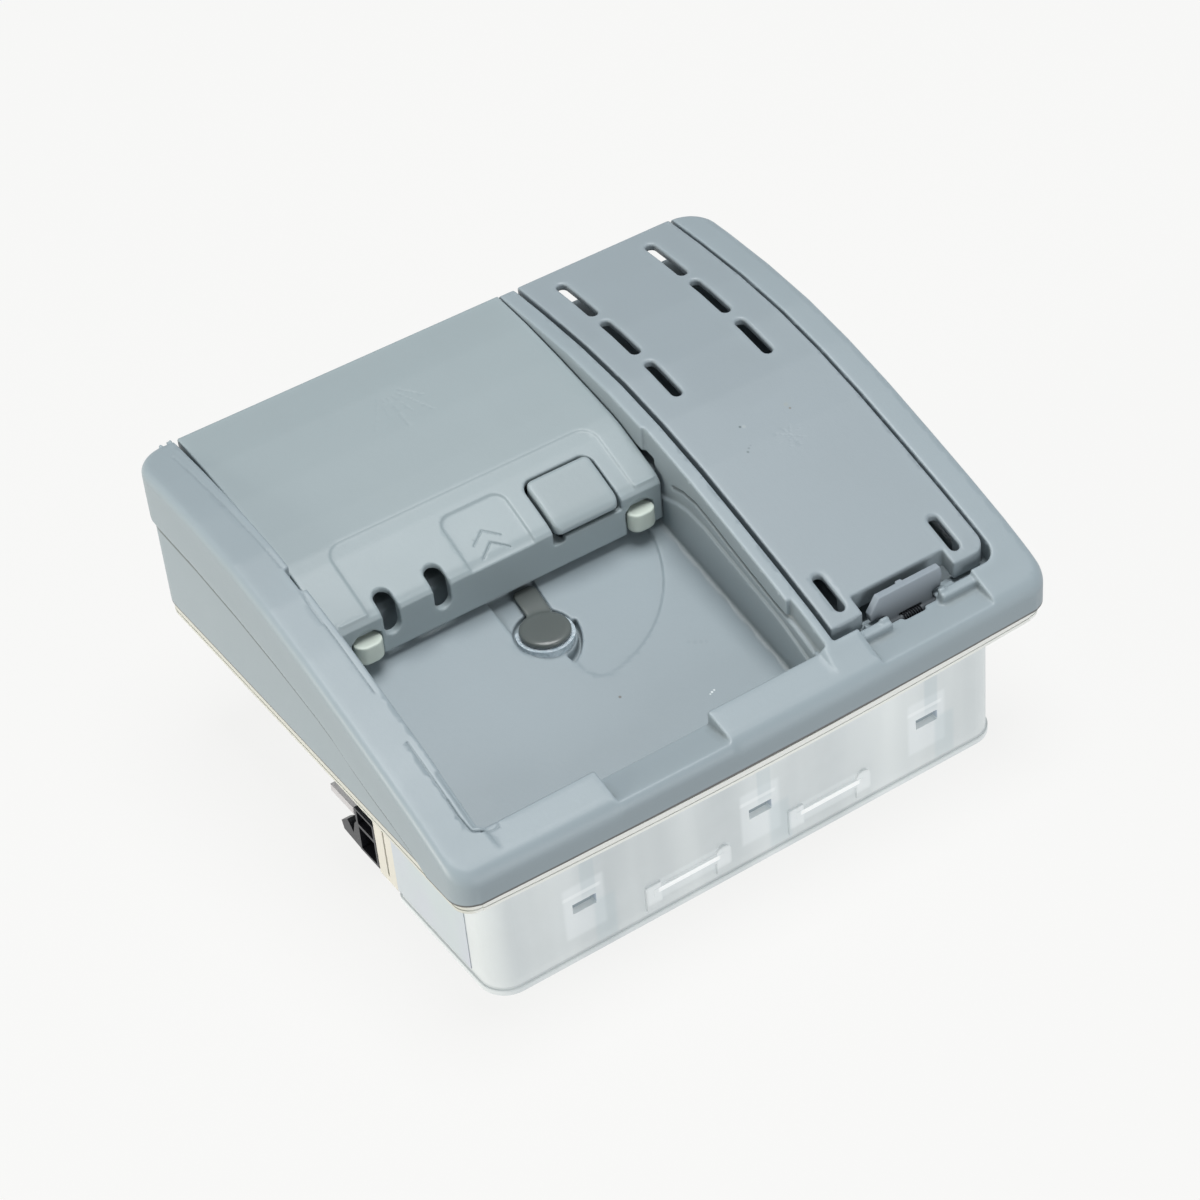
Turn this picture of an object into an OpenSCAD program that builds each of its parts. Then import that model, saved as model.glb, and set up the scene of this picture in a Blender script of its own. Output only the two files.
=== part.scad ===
// Dishwasher detergent dispenser: front frame with sliding lid and rinse-aid flap,
// gasket, clear rear housing, actuator and dosing parts.
// Drawn from the flange's front left corner: x to the right, y to the back, z up,
// z = 0 at the flange's underside. placed() moves it to the centre of its base.

/* [Frame] */
// Width of the front frame
frame_w = 172; // [171:0.5:174]
// Depth of the front frame
frame_d = 147; // [146.5:0.5:149]
// Wall of the frame's outer skin
skin = 2.2; // [1.8:0.1:2.6]
// Wall below the detergent trough
floor_t = 2; // [1.6:0.1:2.4]
// Rise of the trough's floor for each millimetre of depth
floor_slope = 0.243; // [0.235:0.001:0.25]
// How far the front edge bows out in the middle
front_bow = 1.3; // [0.8:0.1:1.8]

/* [Sliding lid] */
// Thickness of the lid's top
lid_t = 2; // [1.6:0.1:2.4]
// Thickness of the lid's skirts
lid_skirt = 1.8; // [1.5:0.1:2.2]
// Width of the release button
button_w = 18.6; // [17:0.1:19]
// Travel of the release button
button_travel = 1.2; // [0.8:0.1:1.4]
// Radius of the lid's guide pegs
peg_r = 1.6; // [1.3:0.1:1.8]

/* [Rinse-aid flap] */
// Thickness of the flap's top
flap_t = 2.2; // [1.8:0.1:2.6]
// Depth of the bay below the flap
bay_drop = 12; // [11:0.5:13]
// Inner radius of the filler neck
neck_r = 11.4; // [10:0.2:12]

/* [Lever] */
// Radius of the lever's cap
cap_r = 6.5; // [6:0.1:6.8]
// Length of the lever's arm from its axis
arm_len = 14.5; // [13:0.5:16]
// Swing of the lever to each side of the middle
swing = 12.5; // [10:0.5:13]
// Radius from the lever's axis to the crank pins
crank_r = 9; // [8:0.2:9.4]

/* [Housing] */
// Depth of the clear housing below the flange
house_h = 42; // [41.5:0.5:45]
// Wall of the clear housing
house_t = 1.8; // [1.5:0.1:2.2]

/* [Hidden] */
$fn = 48;
grey = [0.62, 0.67, 0.70];
mid = frame_w / 2;

// outer surface of the bands beside the lid and of the rinse-aid side, from front to back
band = [[-4, 6.4], [0, 8.4], [1.5, 9.1], [6.7, 11.3], [12, 13.7], [18.1, 16.3], [31.4, 21.2],
    [47.3, 26.6], [63.6, 31.9], [80.2, 36.4], [96.7, 39.7], [114, 41.6], [131.9, 42.3],
    [152, 42.3]];
// lid's outer surface, from its front edge to its back
lid_top = [[74, 24.7], [75, 26], [76.5, 27], [81.1, 29.1], [90.3, 33], [94, 34.1],
    [103.1, 36], [117.3, 38.7], [132.6, 41.1], [146.2, 42.4]];
// outer and inner line of the curved ledge below the right rail
ledge_out = [[8, 6], [13.2, 8.6], [19, 11.4], [29, 14.2], [38, 17.2], [46.5, 20.2], [55, 23.4],
    [61, 25.2], [66, 25.3], [71, 24.2], [78, 22.4]];
ledge_in = [[8, 3], [16.5, 6.6], [20, 8.4], [26, 11.1], [35.2, 14], [46.9, 17.5], [56.9, 20.6],
    [63.3, 21.6], [68, 21.3], [72, 20.2], [78, 18.6]];

trough_y0 = 10.3;   // front wall of the detergent trough
trough_y1 = 81.5;   // back wall of the detergent trough
trough_x0 = 12.4;
trough_x1 = 109.2;
flap_x0 = 114.3;
flap_x1 = 162.3;

// centre of the lid's travel arc
arc_y = 174.2;
arc_z = -612;
// middle of each end stop of the lid
stop_x = [22.35, 101.4];
// middle of each clip that holds the housing
clip_x = [36.2, 87.5, 138.5];
// lever's axis meets the floor here
lev = [63.9, 61.6];
tilt = atan(floor_slope);
// crank pins beside the lever's axis, across the slope
pin_y = crank_r * cos(swing);
pin_x = crank_r * sin(swing);
// line of the actuator's rod, from the lever's axis
rod_y = 3.6 - pin_y;

function floor_z(y) = floor_slope * y - 7.2;
function deck_z(y) = 20.8 + 0.119 * (y - 81.5);
function down(t, d) = [for (p = t) [p[0], p[1] - d]];
function rev(t) = [for (i = [len(t) - 1:-1:0]) t[i]];

function trough_cut(y0) = [[max(y0, 13.3), floor_z(max(y0, 13.3))], [max(y0, 12.3), max(0, floor_z(y0))],
    [y0, max(3.6, floor_z(y0))], [y0, 60], [150, 60],
    [150, deck_z(150)], [trough_y1 + 1.5, deck_z(83)], [trough_y1, deck_z(81.5) - 1.2],
    [trough_y1, floor_z(trough_y1)]];
// space above the ledge, between its inner line (t = 0) and its outer line (t = 1)
function ledge_cut(t) = let (
    l = [for (i = [0:len(ledge_in) - 1]) ledge_in[i] * (1 - t) + ledge_out[i] * t],
    z0 = lookup(trough_y0, l))
    concat([[trough_y0, z0]], [for (p = l) if (p[0] > trough_y0 + 0.1 && p[0] < 77.5) p],
    [[77.5, lookup(77.5, l)], [77.5, 60], [trough_y0, 60]]);

module placed() translate([-mid, -frame_d / 2 + front_bow / 2, house_h]) children();

// a profile in (y, z) drawn out along x
module px(x0, x1, pts) translate([x0, 0, 0]) rotate([90, 0, 90])
    linear_extrude(x1 - x0) polygon(pts);
// a box from corner to corner
module bx(a, b) translate(a) cube(b - a);
// a cylinder along x
module cx(x0, x1, y, z, r, fn = 48) translate([x0, y, z]) rotate([0, 90, 0])
    cylinder(r = r, h = x1 - x0, $fn = fn);
// rectangle with rounded corners: r in front, rb at the back
module rr(x0, x1, y0, y1, r, rb) {
    translate([x0 + r, y0]) square([x1 - x0 - 2 * r, (y1 - y0) / 2]);
    translate([x0, y0 + r]) square([x1 - x0, (y1 - y0) - r - rb]);
    translate([x0 + rb, y0 + (y1 - y0) / 2 - 1]) square([x1 - x0 - 2 * rb, (y1 - y0) / 2 + 1]);
    for (x = [x0 + r, x1 - r]) translate([x, y0 + r]) circle(r);
    for (x = [x0 + rb, x1 - rb]) translate([x, y1 - rb]) circle(rb);
}
// slot along y with round ends
module slot_y(x, y0, y1, w, z0, z1) {
    bx([x - w / 2, y0 + w / 2, z0], [x + w / 2, y1 - w / 2, z1]);
    for (y = [y0 + w / 2, y1 - w / 2]) translate([x, y, z0])
        cylinder(r = w / 2, h = z1 - z0, $fn = 32);
}
// plan of the flange, bowed out in front, made smaller by d
module plan(d = 0, bow = front_bow) {
    translate([0, -0.01]) rr(d, frame_w - d, d, frame_d - d, max(6 - d, 1), max(9 - d, 1));
    intersection() {
        translate([d + 5, -bow - 0.01]) square([frame_w - 2 * d - 10, 20]);
        r = (mid * mid) / (2 * bow);
        translate([mid, r - bow + d]) circle(r, $fn = 720);
    }
}
// the lever's own space: origin at its axis at the floor's height there, z along the axis
module at_lever() translate([lev[0], lev[1], floor_z(lev[1])]) children();
// the same with y up the floor's slope
module at_floor() at_lever() rotate([tilt, 0, 0]) children();
// lifts a shape along the lever's arm, which rises to the back
module arm_slope() multmatrix([[1, 0, 0, 0], [0, 1, 0, 0], [0, 0.2, 1, 0], [0, 0, 0, 1]])
    children();
// the lever's arm in plan, made wider by d
module arm_plan(d = 0) {
    polygon([[-1.75 - d, 0], [-0.5 - d, arm_len - 1.6], [1.1, arm_len + d],
        [4.4, arm_len + d], [6 + d, arm_len - 1.6], [4.75 + d, 0]]);
    for (x = [1.1, 4.4]) translate([x, arm_len - 1.6]) circle(1.6 + d);
}
// room in plan that the lever's arm sweeps, made wider by d
module arm_room(d = 0) polygon([[-7 - d, 0], [-7 - d, arm_len + 1.6 + d],
    [6.75 + d, arm_len + 1.6 + d], [5.1 + d, 0]]);
// pointed pit beside the lever's collar, made wider by d
module pit_plan(d = 0) intersection() {
    translate([-4.97, 1.61]) circle(r = 14.08 + d, $fn = 96);
    polygon([[0.3 - d, -5.6 + d], [1.35 - d, -11.7 - d], [14, -11.7 - d], [14, 0.4 + d], [5, 0.4 + d]]);
}
// outline of the fan-shaped field in the floor
module field_plan() intersection() {
    translate([65.5, 82.9]) circle(r = 39.7, $fn = 180);
    union() {
        translate([71.6, 49.6]) circle(r = 6.2, $fn = 64);
        polygon([[65.4, 49.6], [65.4, 81.4], [104, 81.4], [104, 44.5], [71.6, 43.4]]);
    }
}
// arc-shaped guide slot around the lid's travel centre
module guide(x0, x1, r, y0, y1) intersection() {
    difference() {
        cx(x0, x1, arc_y, arc_z, r + peg_r + 0.35, 1440);
        cx(x0 - 1, x1 + 1, arc_y, arc_z, r - peg_r - 0.35, 1440);
    }
    bx([x0, y0, -10], [x1, y1, 60]);
}

// all of the frame but the latch tab's lugs
module frame_base() difference() {
    union() {
        // outer skin, open below
        difference() {
            intersection() {
                translate([0, 0, 0]) linear_extrude(50) plan();
                px(-1, frame_w + 1, concat(band, [[152, 0], [-4, 0]]));
            }
            intersection() {
                translate([0, 0, -1]) linear_extrude(60) plan(skin + 0.6);
                px(-1, frame_w + 1, concat(down(band, skin), [[152, -1], [-4, -1]]));
            }
        }
        // trough, below the profile
        difference() {
            intersection() {
                px(9.8, 113.1, concat([[11.4, floor_z(11.4) - floor_t], [10.1, 0], [8.3, 3.2],
                    [8.3, 11]], [for (p = band) if (p[0] > 9 && p[0] < 140) p], [[147, 42.3],
                    [147, deck_z(147) - floor_t], [83.5, deck_z(83.5) - floor_t],
                    [83.5, floor_z(83.5) - floor_t]]));
                translate([0, 0, -12]) linear_extrude(70) plan(0.5, 0.4);
            }
            translate([0, 0, -20]) linear_extrude(20) difference() {
                translate([-5, -5]) square([200, 170]);
                house_plan(house_t + 0.2);
            }
        }
        // solid ground below the finger notch
        px(42.2, 77.6, [[0.6, 5], [0.6, 8.8], [8.6, 9.2], [8.6, 5]]);
        // solid ground below the latch tab's recess
        px(119, 156, [[1.5, 6], [1.5, 8.6], [9, 10.4], [9, 6]]);
        // rinse-aid bay, below the profile
        px(111, 165, concat([[8, 2], [8, 11.5]],
            [for (p = band) if (p[0] > 9 && p[0] < 140) p], [[146.5, 42.3], [146.5, 28.2]],
            rev([for (p = down(band, bay_drop + 2)) if (p[0] > 18 && p[0] < 140) p]),
            [[13, 2]]));
        // rim around the filler opening
        translate([138, 85, 24]) cylinder(r = neck_r + 3.4, h = 4.6);
        // ground below the pit
        difference() {
            at_floor() translate([0, 0, -4.4]) linear_extrude(3.4) pit_plan(1.3);
            at_lever() translate([0, 0, -12]) cylinder(r = 6.9, h = 14);
        }
        // hub for the lever's shaft
        at_lever() {
            translate([0, 0, -8]) cylinder(r = 5.5, h = 7);
            // tub below the lever's pocket
            intersection() {
                translate([0, 0, -2.6]) union() {
                    cylinder(r = 9.6, h = 3.6);
                    linear_extrude(4.6) arm_room(1.6);
                }
                px(-20, 20, [[-12, -4], [-12, -3.6], [21.3, 4.5], [21.3, -4]]);
            }
        }
        // hooks that hold the housing
        for (x = clip_x) {
            bx([x - 3.4, 11, -28], [x + 3.4, 12.8, 4]);
            px(x - 2.9, x + 2.9, [[11, -27.8], [8.9, -25.8], [8.9, -24.4], [11, -24.2]]);
        }
        // wall between bay and trough goes down to the flange
        bx([111, 6, 0.2], [113.1, 30, 10]);
    }
    // inset wall below the band on both sides and at the back
    intersection() {
        px(-1, frame_w + 1, [[8, -1], [8, 8.2], [11.8, 8.7], [63, 17.3], [80.6, 21], [99, 23.9],
            [119, 26], [138.8, 27], [150, 27.4], [150, -1]]);
        translate([0, 0, -2]) linear_extrude(40) difference() {
            translate([-5, 5]) square([frame_w + 10, frame_d + 5]);
            plan(0.9);
        }
    }
    // trough and the space that the lid travels in
    intersection() {
        px(trough_x0, 108.5, trough_cut(trough_y0));
        union() {
            bx([0, 0, 0], [160, 152, 60]);
            translate([0, 0, -20]) linear_extrude(20.01) house_plan(house_t + 2);
        }
    }
    px(108.4, trough_x1, [for (p = trough_cut(77)) [min(p[0], 82), p[1]]]);
    for (i = [0:3]) px(108.5 + 0.18 * i, trough_x1, ledge_cut(i / 3));
    // front deck between band and rinse-aid side is lower
    px(14, 108.4, [[-4, 7.5], [-1.3, 8.62], [10.4, 11.7], [10.4, 16], [-4, 16]]);
    for (i = [0:5]) px(108.3 + 0.5 * i, 108.9 + 0.5 * i, [[-4, 7.5 + 0.45 * i],
        [-1.3, 8.62 + 0.45 * i], [16, 13.24 + 0.45 * i], [16, 20], [-4, 16]]);
    for (i = [0:3]) px(12.8 + 0.3 * i, 14.1, [[-4, 7.5 + 0.3 * (3 - i)],
        [-1.3, 8.62 + 0.3 * (3 - i)], [10.4, 11.7 + 0.3 * (3 - i)], [10.4, 16], [-4, 16]]);
    // finger notch between the blocks
    px(44, 75.8, [[-4, 12], [-4, 8.95], [-1.3, 8.75], [11, 7.8], [11, 14]]);
    // right rail: shallow slot below its wall, recess in front
    px(109, 110.3, concat([for (p = ledge_out) if (p[0] > 12 && p[0] < 77) [p[0], p[1] + 0.9]],
        rev([for (p = ledge_out) if (p[0] > 12 && p[0] < 77) p])));
    px(109, 110.6, [[10.3, 9], [15, 9.6], [22.8, 12.6], [24, 13.4], [24, 22], [22, 22],
        [10.3, 22]]);
    // slits along the left band
    px(10.3, 10.6, [[10.6, 12], [35, 21.5], [35, 26], [10.6, 16]]);
    px(10.3, 10.6, [[49.3, 26.5], [70.8, 33.2], [70.8, 36], [49.3, 30]]);
    px(11, 12.5, [[81.6, 26], [81.6, 45], [89.4, 45], [89.4, 26]]);
    px(11.2, 12.5, [[10.3, 12.4], [25.5, 18.6], [25.5, 24], [10.3, 20]]);
    // guide slots for the lid's pegs
    guide(10.9, 12.6, 640.95, 11.6, 77);
    guide(10.9, 12.6, 648.56, 75.2, 145);
    guide(108.4, 110.9, 646.17, 78.4, 145);
    // bay under the flap, open at the back
    px(113.1, 163.1, concat([[16, 8.2]], [[16, 60], [150, 60], [150, 30], [141, 30]],
        rev([for (p = down(band, bay_drop)) if (p[0] > 18 && p[0] < 140) p])));
    difference() {
        bx([113.1, 10.6, 8.2], [163.1, 17, 40]);
        translate([159.1, 5, 0]) difference() {
            cube([10, 9.6, 50]);
            translate([0, 9.6, -1]) cylinder(r = 4, h = 60);
        }
    }
    // filler opening
    translate([138, 85, 10]) cylinder(r = neck_r + 1.8, h = 30);
    // front recess for the latch tab
    px(120.4, 154.6, [[-3, 8.1], [0, 8.25], [10.7, 9.1], [10.7, 20], [-3, 20]]);
    // flap's pivot bores
    cx(110.9, 165.6, 142.4, 36.4, 2.05);
    // recess around the lever
    at_lever() {
        translate([0, 0, -0.9]) cylinder(r = 8, h = 6);
        arm_slope() translate([0, 0, -0.8]) linear_extrude(8) arm_room();
        translate([0, 0, -20]) cylinder(r = 2.56, h = 30);
    }
    // dark crescent beside the collar
    difference() {
        at_floor() translate([0, 0, -3]) linear_extrude(6) pit_plan();
        at_lever() translate([0, 0, -12]) cylinder(r = 7.8, h = 20);
    }
    // shallow round field in the floor, deepest at the right back
    intersection() {
        linear_extrude(40) field_plan();
        multmatrix([[1, 0, 0, 0], [0, 1, 0, 0], [-0.009, -0.006, 1, 1.155], [0, 0, 0, 1]])
            px(30, 106, [[42, floor_z(42) - 0.42], [81.4, floor_z(81.4) - 0.42],
                [81.4, 24], [42, 24]]);
        bx([41, 43, 0], [104, 81.4, 30]);
    }
    // tidy the outside of the front
    difference() {
        bx([-5, -5, -1], [frame_w + 5, 8, 60]);
        translate([0, 0, -2]) linear_extrude(70) plan(0);
    }
}

module front_frame() placed() color(grey) difference() {
    union() {
        frame_base();
        // covers and lugs for the latch tab's pivot
        for (x = [[120.5, 129.1], [144.4, 155]])
            px(x[0], x[1], [[8, 6], [8, 11.1], [8.3, 11.4], [10.6, 11.7], [10.6, 6]]);
        bx([126.6, 9.4, 9], [129.1, 10.6, 12.3]);
        bx([144.4, 9.4, 9], [146.4, 10.6, 12.3]);
        bx([124.2, 9.8, 3.2], [129.1, 13.6, 9.7]);
        bx([144.4, 9.8, 3.2], [151.2, 13.6, 9.7]);
        bx([124.2, 9.8, 3.2], [151.2, 19, 4.6]);
    }
    bx([129.1, 10.6, 4.6], [144.4, 17, 20]);
    cx(133.6, 140.4, 11.6, 7.7, 2.2, 32);
    cx(126.9, 146.7, 11.6, 7.7, 1.26, 32);
}

module flange_gasket() placed() color([0.90, 0.88, 0.80]) difference() {
    translate([0, 0, -3]) linear_extrude(3) intersection() {
        plan(1.3, 2.2);
        translate([0, -3]) square([frame_w, frame_d + 2]);
    }
    translate([0, 0, -4]) linear_extrude(5) rr(9.6, frame_w - 9.6, 7.6, frame_d - 7.4, 6, 6);
    // fine step on top and fine groove around the edge
    for (g = [[-0.4, 0.1, 0.6], [-2.2, -1.9, 0.4]]) translate([0, 0, g[0]])
        linear_extrude(g[1] - g[0]) difference() {
            translate([-5, -5]) square([frame_w + 10, frame_d + 10]);
            plan(1.3 + g[2], 2.2);
        }
}

// plan of the clear housing, made smaller by d
module house_plan(d = 0) {
    rr(10 + d, 161 - d, 8 + d, 52.6 - d, 7 - d, 2);
    rr(27 + d, 161 - d, 8 + d, 139 - d, 7 - d, 5);
}

module rear_housing() placed() color([0.86, 0.90, 0.91, 0.6]) difference() {
    union() {
        difference() {
            translate([0, 0, -house_h]) linear_extrude(house_h) house_plan();
            translate([0, 0, -house_h + 2]) linear_extrude(house_h) house_plan(house_t);
        }
        // raised rim around the base
        translate([0, 0, -house_h]) linear_extrude(1.6) difference() {
            intersection() { offset_rim(); square([frame_w, 152]); }
            house_plan(house_t);
        }
        // thicker pads behind the clips
        for (x = clip_x) {
            bx([x - 6, 9, -34.5], [x + 5.5, 10.7, -18]);
        }
        // snap bars with end pads on the front
        for (x = [[55.2, 75.8], [97.6, 118.2]]) {
            bx([x[0], 7.2, -34.4], [x[1], 8.5, -32.2]);
            bx([x[0] - 2.2, 7.3, -38.6], [x[0] + 2.2, 8.5, -30.6]);
            bx([x[1] - 2.2, 7.3, -38.6], [x[1] + 2.2, 8.5, -32.4]);
            translate([x[1], 8.5, -32.4]) rotate([90, 0, 0]) cylinder(r = 2.2, h = 1.2);
        }
        // lug on the left
        bx([10, 71.4, -28.2], [28, 82.4, -25.9]);
        // ribs inside on the base
        for (x = [60, 96]) bx([x, 9, -41], [x + 1.4, 20, -20]);
    }
    for (x = clip_x) {
        bx([x - 3.3, 6, -26.9], [x + 3.3, 12, -23.8]);
        bx([x - 3.3, 9.9, -28.2], [x + 3.3, 12, -23.8]);
    }
    at_lever() cx(-40, -30, rod_y, -12.6, 3.4, 32);
}
module offset_rim() {
    rr(9.5, 161.5, 7.5, 53.1, 7.5, 2.4);
    rr(26.5, 161.5, 7.5, 139.5, 7.5, 5.4);
}

module sliding_lid() placed() color(grey) difference() {
    union() {
        difference() {
            px(13.4, 108.2, concat([[74, 13.6]], lid_top, [[146.2, 29.3], [81.6, 22.6],
                [80.4, 20.5], [80.3, 14.2], [79.7, 13.6]]));
            px(13.4 + lid_skirt, 108.2 - lid_skirt, concat([[74 + lid_skirt, 10]],
                [for (p = down(lid_top, lid_t)) if (p[0] > 76 && p[0] < 145) p],
                [[146.2 - lid_skirt, 40], [146.2 - lid_skirt, 26], [100, 10]]));
        }
        // guide pegs
        cx(11.4, 13.6, 74.8, 21.2, peg_r);
        cx(11.4, 13.6, 142.6, 35.8, peg_r);
        cx(108, 110.4, 142.6, 33.4, peg_r);
        // seats behind the end stops
        bx([16.4, 75, 13.6], [28.4, 79.6, 26.6]);
        bx([95.4, 75, 13.6], [107.2, 79.6, 26.6]);
        // ledge below the button's left corner
        bx([75.9, 74.6, 17.4], [79.4, 79, 20.95]);
        // seat for the button's spring
        bx([80, 75.4, 13.6], [92.5, 80.6, 14.6]);
        // ribs below the top
        for (x = [37, 60, 84]) px(x, x + 1.2, [[91, 29.6], [91, 32], [103.1, 35], [117.3, 37.8],
            [132.6, 40], [145, 41], [145, 37.5], [132.6, 36.8], [117.3, 34.6], [103.1, 31.8]]);
        // spindle for the lid's spring
        bx([47, 127.6, 34.3], [48.6, 133.6, 39.4]);
        cx(48, 58.5, 131, 33.6, 1.7);
    }
    // control panel, slightly sunk
    intersection() {
        px(24, 101, [[72, 24.4], [75, 25.7], [76.4, 26.65], [81.1, 28.75], [90.3, 32.65],
            [94.5, 33.9], [94.5, 44], [72, 44]]);
        linear_extrude(60) rr(24, 101, 68, 94.5, 1, 4.5);
    }
    // arrow panel
    intersection() {
        px(52.5, 71, [[72, 24], [74.9, 25], [76.6, 26.2], [81.1, 28.25], [89, 31.6], [89, 44],
            [72, 44]]);
        linear_extrude(60) rr(52.5, 71, 68, 89, 1, 3.2);
    }
    // opening for the button, with a lower ledge in front
    translate([0, 0, 21]) linear_extrude(60) rr(86.2 - button_w / 2 - 0.75,
        86.2 + button_w / 2 + 0.75, 76.2, 88.3, 1, 3);
    bx([86.2 - button_w / 2 - 0.75, 72, 22.1], [86.2 + button_w / 2 + 0.75, 80, 30]);
    bx([86.2 - button_w / 2 - 0.75, 72, 20.9], [86.2 - button_w / 2 + 2.6, 77.5, 30]);
    bx([79.6, 75.6, 18], [86.2 + button_w / 2 + 0.75, 80, 30]);
    // two slots that wrap over the front crease
    for (x = [29.7, 44]) {
        slot_y(x, 73 - 3, 80, 4.6, 22.6, 60);
        translate([x, 70, 20.6]) rotate([-90, 0, 0]) cylinder(r = 2.3, h = 7.4, $fn = 32);
        bx([x - 2.3, 70, 20.6], [x + 2.3, 77.4, 24.5]);
    }
    // pockets for the end stops
    for (x = stop_x) {
        stop_shape(x, 0.3, 12, 20.7);
        translate([x, 72, 18.4]) rotate([-90, 0, 0]) cylinder(r = 4.2, h = 3.2);
    }
}
// rounded post of an end stop, made larger by d
module stop_shape(x, d, z0, z1) for (s = [-1, 1]) {
    translate([x + s, 74.1, z0]) cylinder(r = 2.8 + d, h = z1 - z0, $fn = 32);
    if (s > 0) bx([x - 1, 71.3 - d, z0], [x + 1, 76.9 + d, z1]);
}
module lid_buffer(x) placed() color([0.80, 0.84, 0.80]) union() {
    stop_shape(x, 0, 14.9, 20.1);
    for (s = [-1, 1]) translate([x + s, 74.1, 14.3]) cylinder(r = 2.3, h = 0.7, $fn = 32);
    bx([x - 1, 71.8, 14.3], [x + 1, 76.4, 15]);
    // tongue held in the lid
    bx([x - 1, 76, 16], [x + 1, 77.2, 19.5]);
}
module lid_buffer_left() lid_buffer(stop_x[0]);
module lid_buffer_right() lid_buffer(stop_x[1]);

module release_button() placed() color(grey) union() {
    intersection() {
        px(86.2 - button_w / 2, 86.2 + button_w / 2, [[73.4, 23.5], [73.3, 24.9], [74, 26.1],
            [76.2, 27.5], [81.1, 29.8], [86.4, 32.1], [87.5, 32], [87.5, 28.6], [85.6, 27],
            [80, 24.6], [76.4, 23.5]]);
        linear_extrude(60) rr(86.2 - button_w / 2, 86.2 + button_w / 2, 73.2, 87.6, 2.2, 2.2);
    }
    // stem for the spring
    translate([86.2, 78.4, 20.4]) cylinder(r = 1.3, h = 5);
}

// wire coil about z: mean radius R, wire radius w, given height and turns
module coil(R, w, h, turns, n = 8, seg = 18) {
    m = turns * seg;
    pts = [for (i = [0:m]) let (a = 360 * i / seg, z = w + (h - 2 * w) * i / m)
        for (k = [0:n - 1]) let (b = 360 * k / n)
            [(R + w * cos(b)) * cos(a), (R + w * cos(b)) * sin(a), z + w * sin(b)]];
    polyhedron(pts, concat(
        [[for (k = [n - 1:-1:0]) k]],
        [for (i = [0:m - 1]) for (k = [0:n - 1])
            [i * n + k, i * n + (k + 1) % n, (i + 1) * n + (k + 1) % n, (i + 1) * n + k]],
        [[for (k = [0:n - 1]) m * n + k]]));
}

module button_spring() placed() color([0.72, 0.73, 0.75])
    translate([86.2, 78.4, 14.6]) coil(1.75, 0.25, 8.9, 6);

module lid_spring() placed() color([0.66, 0.68, 0.71]) union() {
    difference() {
        cx(49.2, 57.8, 131, 33.6, 3.4);
        cx(49, 58, 131, 33.6, 1.72);
    }
    px(49.2, 57.8, [[131, 30.2], [131, 30.5], [136, 28.6], [148 - 1.2, 28.86], [148 - 1.2, 28.6],
        [135.9, 28.3]]);
}

module rinse_lid() placed() color(grey) difference() {
    union() {
        difference() {
            intersection() {
                px(flap_x0, flap_x1, concat([[11.2, 8.4], [11.2, 13.3]],
                    [for (p = band) if (p[0] > 11.3 && p[0] < 140) p], [[145.8, 42.3],
                    [146.6, 41.8], [147, 41], [147, 39.6], [145.2, 36.6]],
                    rev([for (p = down(band, 5.4)) if (p[0] > 13 && p[0] < 140) p])));
                linear_extrude(60) translate([0, 0, 0]) union() {
                    rr(flap_x0, flap_x1, 13.5, 147, 3.6, 1.2);
                    translate([flap_x0, 13]) square([20, 20]);
                }
            }
            px(flap_x0 + 1.6, flap_x1 - 1.6, concat([[20.2, 4], [20.2, 17.2 - flap_t]],
                [for (p = down(band, flap_t)) if (p[0] > 21 && p[0] < 140) p], [[145, 40.1],
                [145, 20]]));
        }
        // hinge ears and pins
        for (x = [flap_x0, flap_x1 - 3.4]) cx(x, x + 3.4, 142.4, 36.4, 3.1);
        cx(111.2, flap_x0 + 1, 142.4, 36.4, 2);
        cx(flap_x1 - 1, 164.9, 142.4, 36.4, 2);
        // boss that carries the seal
        intersection() {
            translate([138, 85, 32.6]) cylinder(r = 12.6, h = 10);
            px(120, 155, concat([[60, 10], [60, 30.6]],
                [for (p = down(band, 1)) if (p[0] > 61 && p[0] < 140) p], [[140, 10]]));
        }
    }
    // seat for the seal's ring
    translate([138, 85, 28]) cylinder(r = 12.65, h = 4.6);
    // front notch
    bx([123.8, 8, 0], [151.9, 17.9, 60]);
    // slots
    for (x = [123.3, 151.4]) {
        slot_y(x, 123.2, 140.2, 2.8, 30, 60);
        slot_y(x, 104.1, 119.9, 2.8, 30, 60);
        slot_y(x, 86.2, 100.2, 2.8, 25, 60);
    }
    slot_y(119.9, 15.9, 26.7, 2.8, 0, 60);
    slot_y(155.2, 16.3, 26.7, 2.8, 0, 60);
}

module rinse_lid_seal() placed() color([0.25, 0.26, 0.27]) translate([138, 85, 30.3])
    difference() {
        cylinder(r = 12.6, h = 2.3);
        translate([0, 0, -1]) cylinder(r = 9.6, h = 5);
    }

module rinse_lid_latch() placed() color(grey) difference() {
    union() {
        intersection() {
            px(125.2, 148.4, [[10.8, 6.2], [12.8, 6.2], [15, 16.1], [13, 16.1]]);
            rotate([90, 0, 0]) translate([0, 0, -20]) linear_extrude(20) polygon([[129.5, 5],
                [143.9, 5], [143.9, 10.9], [146.6, 11.1], [147.6, 14.2], [147.4, 16.2],
                [128.8, 16.2], [125.4, 12.8], [125.4, 11], [129.5, 10.8]]);
        }
        px(135.4, 137.2, [[14.2, 14.2], [15.3, 14.6], [15.7, 16.1], [14.2, 16.1]]);
        cx(127.3, 146.3, 11.6, 7.7, 1.2, 32);
    }
    // space for the spring's coil
    difference() {
        bx([133.6, 8, 4], [140.4, 16, 9.5]);
        cx(133, 141, 11.6, 7.7, 1.2, 32);
    }
}

module latch_spring() placed() color([0.72, 0.73, 0.75])
    translate([134, 11.6, 7.7]) rotate([0, 90, 0]) coil(1.46, 0.2, 6, 8);

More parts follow.
